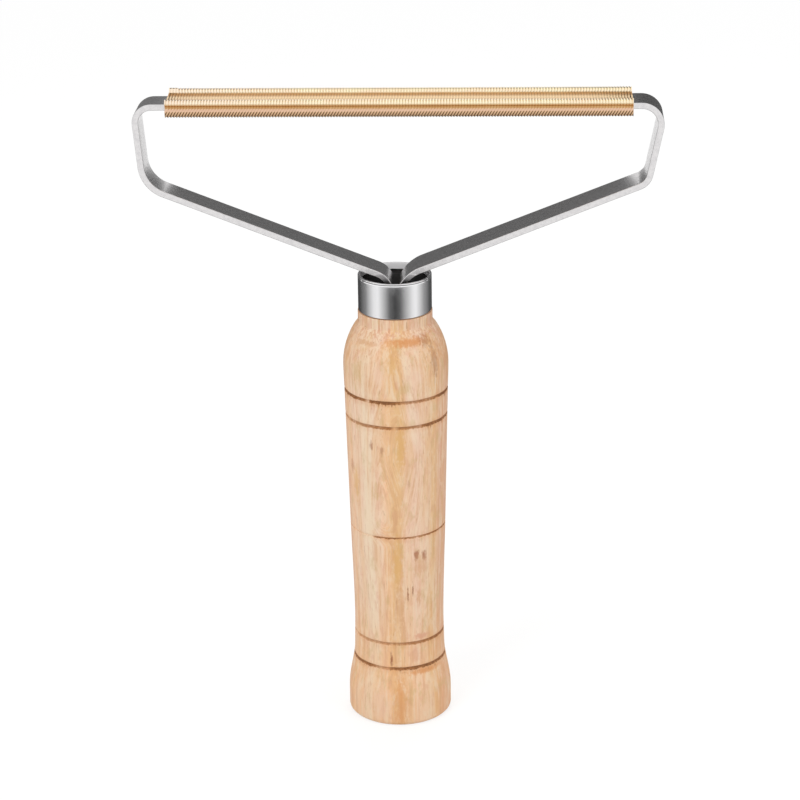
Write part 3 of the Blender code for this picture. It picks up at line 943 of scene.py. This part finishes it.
def rib_share(x, z):
    """Depth of a point in its rib: 0 on a ridge, 1 in a valley."""
    turns = (x - sleeve_low.x - RIB_LEAN * min(z, 0)) / rib_pitch
    swing = ((1 - math.cos(math.tau * turns)) / 2) ** VALLEY_POWER
    unevenness = 1 + RIB_WANDER * noise.noise(Vector((math.floor(turns) * 0.7, 1.5, 0)))
    return min(1.0, swing * unevenness)


def bite(z):
    """How hard the wheel bit at a height: most along the crests and the bottom."""
    t = min(1.0, max(0.0, (abs(z) - CREST_START) / (CREST_FULL - CREST_START)))
    return FRONT_SHARE + (1 - FRONT_SHARE) * t * t * (3 - 2 * t)


def sleeve_row(x, ridge, valley):
    """One cross-section of the ribbed sheet, as points in space."""
    points = []
    for (y0, z0), (y1, z1) in zip(ridge, valley):
        late = x - sleeve_low.x < SMOOTH_END and y0 > 0 and z0 > 0
        share = rib_share(x, z0) * (SMOOTH_SHARE if late else bite(z0))
        y, z = rolled(y0 + (y1 - y0) * share, z0 + (z1 - z0) * share)
        points.append((x, y, strap_height + z))
    return points


def build_sleeve():
    """The ribbed outer skin, a plain inner one, and strips that join their ends and seams."""
    shape = bmesh.new()
    ridge, valley, inner = [sleeve_section(inset) for inset in (RIDGE, RIB_DEPTH, INNER_SKIN)]
    rows = [add_row(shape, sleeve_row(sleeve_low.x + rib_pitch * i / RIB_ROWS, ridge, valley))
            for i in range(RIBS * RIB_ROWS + 1)]
    inner_rows = [add_row(shape, sleeve_row(x, inner, inner)) for x in (sleeve_low.x, sleeve_high.x)]
    ends = [[rows[0], inner_rows[0]], [rows[-1], inner_rows[-1]]]
    for strip in [rows, inner_rows] + ends:
        lay_rows(shape, strip, wrap=False)
    for side in (0, -1):
        rim = [row[side] for row in rows]
        shape.faces.new(rim + [inner_rows[-1][side], inner_rows[0][side]])
    return shape


print("ribs:", RIBS, "at", round(rib_pitch / MM, 3), "mm")

# %% [markdown]
# Brass looks white-gold where it mirrors the light once, and turns orange where the light bounces
# from rib to rib, because each bounce takes away some blue. The shader does that by itself. Painted
# shade does the rest, with some dirt and tarnish: it darkens the valleys of the ribs, most of all
# along the crests and under the lobes, and fills the folds between the lobes with brown. Vertex
# colours could hold that, but the ribs have too few points across. Masks over the place draw it
# instead, from the rib's own period and from the height and the depth in the rolled section.

# %% Brass: masks over the section
# millimetres over the parting for heights, and from the middle line for depths
VALLEY_EDGE = (0.08, 0.26)    # turns of a rib from its valley's middle between which the valley's painted shade ends
CREST = (1.3, 1.7)            # heights between which a crest starts
FRONT_CREST = (-5.98, -5.68)  # depths between which the front crest's dots start
MIDDLE = (-1.0, 1.0)          # depths between which the front half ends
BACK_CREST = (5.3, 5.6)       # depths between which the back crest's dots start
PARTING = (-0.5, -0.15)       # heights between which the parting of upper and lower lobes starts
PARTING_END = (0.2, 0.7)      # and ends
PARTING_DEPTH = (5.4, 5.9)    # and the depths where it starts on both sides
GOLD_END = (0.7, 1.4)         # heights between which the painted bounce light of the upper lobes' feet ends
GOLD_DEPTH = (5.0, 5.4)       # and the depths where it starts on both sides
GOLD_FLOOR = (3.9, 4.5)       # depths between which the floor's painted bounce light ends
GOLD_LOW = (0.0, 0.5)         # heights between which it starts
FLOOR_BROWN = ((0.2, 2.8), (3.9, 4.6))   # depths between which the painted shade beside the floor starts and ends
BROWN_RISE = (0.4, 0.8)       # distances from the floor between which it ends


def valley_mask(x, height):
    """1 in the valleys of the ribs, 0 on the ridges."""
    lean = height.smaller(0.0) * RIB_LEAN
    turns = (x - sleeve_low.x / MM - lean) / (rib_pitch / MM)
    return abs(turns.fraction() - 0.5).fade(*VALLEY_EDGE)


def crest_mask(depth, height):
    """1 on top and at the back of both upper lobes, where the valleys' painted shade shows as dots."""
    behind = depth.step(*FRONT_CREST) * depth.fade(*MIDDLE) + depth.step(*BACK_CREST)
    return height.step(*CREST) * behind


def bounce_light_mask(depth, height):
    """1 on the floor and low on the upper lobes, where bounce light is painted in gold."""
    low_front = height.fade(*GOLD_END) * height.step(*PARTING) * abs(depth).step(*GOLD_DEPTH)
    return low_front.larger(abs(depth).fade(*GOLD_FLOOR) * height.step(*GOLD_LOW))


def fold_shade_mask(depth, height):
    """1 in the folds, where shade is painted: between upper and lower lobes, and along both sides of the
    floor.
    """
    parting = height.step(*PARTING) * height.fade(*PARTING_END) * abs(depth).step(*PARTING_DEPTH)
    starts, ends = FLOOR_BROWN
    beside_floor = abs(depth).step(*starts) * abs(depth).fade(*ends)
    low_down = abs(height - (FLOOR_RISE - PARTING_RISE) / MM).fade(*BROWN_RISE)
    return (parting * 0.85).larger(beside_floor * low_down)


print("the sleeve's floor is", round((FLOOR_RISE - PARTING_RISE) / MM, 2), "mm over the parting")

# %% [markdown]
# One brass tint all over would lose the four lobes from a step away. So the tints go on one over
# another: bright brass, whiter towards the left end, and a painted gold where light would bounce
# twice. The lower lobes are a little rougher and face down, so they are painted a darker rose as
# shade, and their undersides duller still. Brown in the folds is painted shade with some tarnish,
# and the valleys' dark, painted shade with some dirt, comes last.

# %% Comb brass
BRASS = linear(255, 243, 210)
PALE_BRASS = linear(255, 236, 206)
WHITE_BRASS = linear(254, 236, 218)
SHADED_ROSE_BRASS = linear(232, 195, 168)
SHADED_DULL_BRASS = linear(224, 186, 148)
PAINTED_BOUNCE_GOLD = linear(240, 206, 154)
TARNISH_AND_SHADE = linear(198, 146, 84)
VALLEY_DIRT_AND_SHADE = linear(78, 50, 28)
WHITE_END = (-64.0, -20.0)    # distance to the side between which the whiter end passes over
LOWER_LOBES = (-0.65, -0.25)  # heights between which the lower lobes end
SHADED_UNDERSIDE = (-1.3, -0.95)     # heights between which the painted shade of the lower lobes' undersides ends


def mix_brass():
    brass = Finish("comb_brass")
    place = brass.place()
    x, y, z = brass.split(place)
    over = z - strap_height / MM
    cosine, sine = math.cos(SLEEVE_ROLL), math.sin(SLEEVE_ROLL)
    depth = y * cosine + over * sine
    height = over * cosine - y * sine - PARTING_RISE / MM
    cloud = brass.noise(place * (0.12, 0.5, 0.5), detail=3.0)
    speck = brass.noise(place * (3.0, 3.0, 3.0), detail=2.0, lift=6.0)
    valley = valley_mask(x, height)
    fold_shade = fold_shade_mask(depth, height)
    crest = crest_mask(depth, height)
    lower = height.fade(*LOWER_LOBES)
    shaded_underside = height.fade(*SHADED_UNDERSIDE)
    color = brass.blend(cloud.step(0.35, 0.65), BRASS, PALE_BRASS)
    color = brass.blend(x.fade(*WHITE_END, 0.6), color, WHITE_BRASS)
    # painted bounce light: gold on the floor and at the feet of the upper lobes
    color = brass.blend(bounce_light_mask(depth, height) * 0.8, color, PAINTED_BOUNCE_GOLD)
    # painted shade: the lower lobes face down, so they are a darker rose, and duller still underneath
    color = brass.blend(lower, color, SHADED_ROSE_BRASS)
    color = brass.blend(shaded_underside, color, SHADED_DULL_BRASS)
    # painted shade, with some tarnish, in the folds between the lobes and beside the floor
    color = brass.blend((fold_shade * (cloud * 0.5 + speck * 0.5 + 0.45)).smaller(1.0), color, TARNISH_AND_SHADE)
    # painted shade, with some dirt, in the valleys of the ribs
    color = brass.blend(valley * speck * 0.5, color, TARNISH_AND_SHADE)
    # darkest painted shade in the valleys on the crests, under the lobes and in the folds
    dark_crest_valleys = (valley * 1.7).smaller(1.0) * crest
    color = brass.blend(dark_crest_valleys.larger(valley * shaded_underside.larger(fold_shade * 0.3)), color, VALLEY_DIRT_AND_SHADE)
    rough = cloud * 0.06 + speck * 0.08 + fold_shade * 0.1 + lower * 0.08 + 0.16
    bump = brass.bump(speck, strength=0.3, depth=0.01 * MM)
    return brass.surface({"Base Color": color, "Roughness": rough, "Metallic": 1.0, "Normal": bump})


make_piece("comb", build_sleeve(), mix_brass(), "comb_sleeve", sharp_above=75)

# %% [markdown]
# ## The resin
#
# Dark resin holds the strap's two ends. It was poured in warm, crept up the steel a little and set
# with an uneven skin. A flat disc would do from afar. From close by the creep shows, so the pool is
# a polar grid whose height rises towards the ferrule's wall and towards the two flat ends.

# %% Build the resin
POOL_RINGS = 30
POOL_STEPS = 120
CREEP = 0.45 * MM             # how far the resin climbs
CREEP_REACH = 0.55 * MM       # how far from the steel it starts to climb
UNEVEN = 0.12 * MM
RIPPLE_WIDTH = 1.6 * MM       # size of the skin's broad ripples
WRINKLE_WIDTH = 0.6 * MM      # and of the fine ones on them
TANG_HALF = (2.0 * MM, STRAP_WIDTH / 2)
resin_rings = radii_by_height("socket_resin")
pool_level = resin_rings[-1][0] - CREEP - UNEVEN
pool_radius = max(radii[-1] for height, radii in resin_rings)


def pool_height(x, y):
    """Height of the resin's skin, highest where it touches the wall or the tangs."""
    gap_x = max(abs(x) - TANG_HALF[0], 0)
    gap_y = max(abs(y) - TANG_HALF[1], 0)
    to_tang = math.hypot(gap_x, gap_y)
    to_wall = pool_radius - math.hypot(x, y)
    climb = max(math.exp(-to_tang / CREEP_REACH), math.exp(-to_wall / CREEP_REACH))
    place = Vector((x, y, 0))
    ripple = noise.noise(place / RIPPLE_WIDTH) + 0.5 * noise.noise(place / WRINKLE_WIDTH)
    return pool_level + CREEP * climb + UNEVEN * 0.6 * ripple


def build_resin():
    """The uneven skin, and under it the plug in the ferrule and in the handle's socket."""
    shape = bmesh.new()
    rows = []
    for i in range(POOL_RINGS, 0, -1):
        ring = circle(pool_radius * i / POOL_RINGS, 0, POOL_STEPS)
        rows.append(add_row(shape, [(x, y, pool_height(x, y)) for x, y, z in ring]))
    close_with_point(shape, rows[-1], (0, 0, pool_height(0, 0)))
    lower = [(height, radii) for height, radii in resin_rings if height < pool_level - MM]
    foot_height, foot_radii = lower[0]
    plug_radius = foot_radii[-1]
    ledge_height = max(height for height, radii in lower if radii[-1] > plug_radius + DIP)
    outline = [(pool_radius, ledge_height), (plug_radius, ledge_height), (plug_radius, foot_height)]
    hidden = [add_row(shape, circle(radius, height, POOL_STEPS)) for radius, height in outline]
    lay_rows(shape, [rows[0]] + hidden)
    lay_rows(shape, rows)
    close_with_point(shape, hidden[-1], (0, 0, foot_height))
    return shape


print("the resin's skin lies", round((ferrule_high.z - pool_level) / MM, 2), "mm under the rim")

# %% [markdown]
# The set resin is almost black and satin, with grey dust in it. A darker Base Color alone would
# still mirror the white room, as any plastic does, so its Specular level is turned down as well.

# %% Dark resin
RESIN = linear(14, 13, 12)
WORN_RESIN = linear(42, 40, 38)
RESIN_DUST = linear(110, 108, 100)


def mix_resin():
    resin = Finish("dark_resin")
    place = resin.place()
    grain = resin.noise(place * (2.4, 2.4, 2.4), detail=5.0, roughness=0.65)
    dust = resin.noise(place * (9.0, 9.0, 9.0), detail=2.0, lift=3.0)
    color = resin.blend(grain.step(0.45, 0.8), RESIN, WORN_RESIN)
    color = resin.blend(dust.step(0.66, 0.82) * 0.4, color, RESIN_DUST)
    rough = grain * 0.3 + 0.35
    bump = resin.bump(grain, strength=0.6, depth=0.06 * MM)
    return resin.surface({"Base Color": color, "Roughness": rough, "Normal": bump,
                          "Specular IOR Level": 0.08})


make_piece("resin_pool", build_resin(), mix_resin(), "socket_resin")

# %% [markdown]
# ## The floor and the air round the tool
#
# The background is plain white. It could be made white with strong lamps, and they would burn out
# the pale wood too. Instead the floor and the world are white only for what sees them: the camera,
# reflections and glass. For soft light they keep a plain level. Round the tool the floor mixes a
# little real shading in, so that the tool stands on its own faint shadow. Farther off it turns to
# plain white, and no horizon shows in a low view.

# %% Floor and world
WHITE = (1.0, 1.0, 1.0)
FLOOR_GREY = (0.8, 0.8, 0.8)  # what the floor is for soft light
FLOOR_RADIUS = 4.0
FLOOR_STEPS = 96
FLOOR_DROP = 0.1 * MM         # the floor lies this far under the foot
SHADOW_SHARE = 0.3            # how much of the floor's white is real shading
LIT_SHARE = 0.9               # how bright that shading is where no shadow falls
FAR_FLOOR = (700.0, 1300.0)   # millimetres from the tool over which that shading fades out
AIR_LEVEL = 0.7               # strength of the soft light from all sides


def seen_by_eye(finish):
    """1 for rays that see the floor or the world: camera, reflection and glass rays."""
    path = finish.node("ShaderNodeLightPath").socket.node.outputs
    camera_ray, glossy_ray, glass_ray = [Wire(finish, path[name]) for name in
                                         ("Is Camera Ray", "Is Glossy Ray", "Is Transmission Ray")]
    return camera_ray.larger(glossy_ray).larger(glass_ray)


def mix_floor():
    floor = Finish("white_floor")
    shade = floor.node("ShaderNodeBsdfDiffuse", {}, {"Color": FLOOR_GREY})
    faint = floor.node("ShaderNodeBsdfDiffuse", {}, {"Color": (SHADOW_SHARE,) * 3})
    glow = floor.node("ShaderNodeEmission", {},
                      {"Color": WHITE, "Strength": 1 - SHADOW_SHARE * LIT_SHARE})
    near = floor.node("ShaderNodeAddShader", {}, {0: faint, 1: glow})
    white = floor.node("ShaderNodeEmission", {}, {"Color": WHITE, "Strength": 1.0})
    x, y, z = floor.split(floor.place())
    far = length(x, y).step(*FAR_FLOOR)
    bright = floor.node("ShaderNodeMixShader", {}, {0: far, 1: near, 2: white})
    both = floor.node("ShaderNodeMixShader", {}, {0: seen_by_eye(floor), 1: shade, 2: bright})
    return floor.end_with(both)


def add_stage(name, shape, material):
    """A piece of the studio, which isn't part of the tool."""
    mesh = bpy.data.meshes.new(name)
    shape.to_mesh(mesh)
    shape.free()
    mesh.materials.append(material)
    item = bpy.data.objects.new(name, mesh)
    bpy.context.scene.collection.objects.link(item)
    return item


floor_shape = bmesh.new()
bmesh.ops.create_circle(floor_shape, cap_ends=True, radius=FLOOR_RADIUS, segments=FLOOR_STEPS)
bmesh.ops.translate(floor_shape, verts=floor_shape.verts, vec=(0, 0, -FLOOR_DROP))
add_stage("floor", floor_shape, mix_floor())

air = Finish("air", world=True)
air_level = seen_by_eye(air).step(0.0, 1.0, AIR_LEVEL, 1.0)
sky = air.node("ShaderNodeBackground", {}, {"Color": WHITE, "Strength": air_level})
bpy.context.scene.world = air.end_with(sky, "ShaderNodeOutputWorld")
print("floor", FLOOR_RADIUS * 2, "m across, air level", AIR_LEVEL)

# %% [markdown]
# ## Cards and lamps
#
# Polished metal has no colour of its own, it shows what stands round it. A product photographer
# places grey cards where the metal should look dark, and the same is done here. A card seen from
# far off would darken every piece that looks the same way. So these stand close: one behind the
# strap's sloping arms ends just under the brass, which looks over it into white, and smaller ones
# stand behind the corners. A narrow ring round the ferrule fades from dark to light and back, which
# draws its soft bands. One more card lies on the floor and greys what faces down. Only reflections
# meet the cards.

# %% Cards
BEHIND = 0.030                # the cards behind the strap stand this far back
WHITE_BEHIND = 0.031          # and have a white one at their back, for who looks from there
# left and right end, lowest and highest edge, grey level
BACK_CARDS = {"arms": (-0.062, 0.062, 0.095, 0.190, 0.150),
              "left_stub": (-0.0745, -0.067, 0.189, 0.260, 0.190),
              "left_corner": (-0.150, -0.0745, 0.120, 0.260, 0.190),
              "right_stub": (0.068, 0.078, 0.189, 0.260, 0.100),
              "right_corner": (0.078, 0.150, 0.120, 0.260, 0.100)}
RING_RADIUS = 0.032
RING_HEIGHTS = (0.103, 0.1325)
RING_STEPS = 96
# degrees from the front, and the grey level there
RING_LIGHT = [(-180, 0.05), (-118, 0.06), (-86, 0.24), (-58, 0.84), (-44, 0.95), (-12, 0.14),
              (3, 0.05), (16, 0.12), (50, 0.86), (60, 0.95), (88, 0.34), (120, 0.08), (180, 0.05)]
UNDER_SIDES = (-0.30, 0.30)
UNDER_ENDS = (-0.34, 0.30)    # the front and the back end of the card on the floor
UNDER_HEIGHT = 0.5 * MM
UNDER_LEVEL = 0.72


def mix_card(name, level):
    """A card that glows at a plain level, or at one that a function gives."""
    card = Finish(name)
    color = level(card) if callable(level) else (level, level, level)
    return card.surface({"Base Color": (0.0, 0.0, 0.0), "Roughness": 1.0, "Specular IOR Level": 0.0,
                         "Emission Color": color, "Emission Strength": 1.0})


def add_card(name, corners, level):
    """A card made from rows of points, that only reflections see."""
    shape = bmesh.new()
    rows = [add_row(shape, row) for row in corners]
    lay_rows(shape, rows, wrap=False)
    card = add_stage(name, shape, mix_card(name, level))
    card.visible_camera = False
    card.visible_diffuse = False
    card.visible_shadow = False
    card.visible_transmission = False


def upright(points, low, high):
    """The rows of an upright card over points on the floor."""
    return [[(x, y, z) for x, y in points] for z in (low, high)]


def ring_level(card):
    """Grey of the ring: dark in front, light at both sides, dark again behind."""
    x, y, z = card.split(card.place())
    return ramp_round(card, direction(x, y), RING_LIGHT)


for name, (start, end, low, high, level) in BACK_CARDS.items():
    for kind, behind, grey in (("card_", BEHIND, level), ("card_white_", WHITE_BEHIND, 1.0)):
        add_card(kind + name, upright([(start, behind), (end, behind)], low, high), grey)
ring_points = [(x, y) for x, y, z in circle(RING_RADIUS, 0, RING_STEPS)]
add_card("card_ring", upright(ring_points + ring_points[:1], *RING_HEIGHTS), ring_level)
add_card("card_under", [[(x, y, UNDER_HEIGHT) for x in UNDER_SIDES] for y in UNDER_ENDS], UNDER_LEVEL)
print("cards:", len(BACK_CARDS) * 2 + 2)

# %% [markdown]
# Three soft lamps shape the wood. One lamp could light the tool, and would leave its far side too
# dark. The three are kept out of reflections: a mirror-like rib would show each lamp as a
# burnt-out spark, while the white air round the tool already gives it its shine.

# %% Lamps
LAMP_SIZE = 0.5
# place and power
LAMPS = {"key": ((-0.55, -0.75, 0.95), 4.4), "fill": ((0.8, -0.6, 0.7), 2.2),
         "back": ((0.1, 0.7, 1.1), 2.2)}


def add_lamp(name, place, power):
    """A soft square lamp that points at the tool."""
    light = bpy.data.lights.new(name, "AREA")
    light.shape = "SQUARE"
    light.size = LAMP_SIZE
    light.energy = power
    lamp = bpy.data.objects.new(name, light)
    lamp.location = place
    lamp.rotation_euler = (AIM - Vector(place)).to_track_quat("-Z", "Y").to_euler()
    lamp.visible_glossy = False
    bpy.context.scene.collection.objects.link(lamp)


for name, (place, power) in LAMPS.items():
    add_lamp(name, place, power)
print("lamps:", ", ".join(LAMPS))

# %% [markdown]
# The dressed model has to stay inside the box of the packed one.
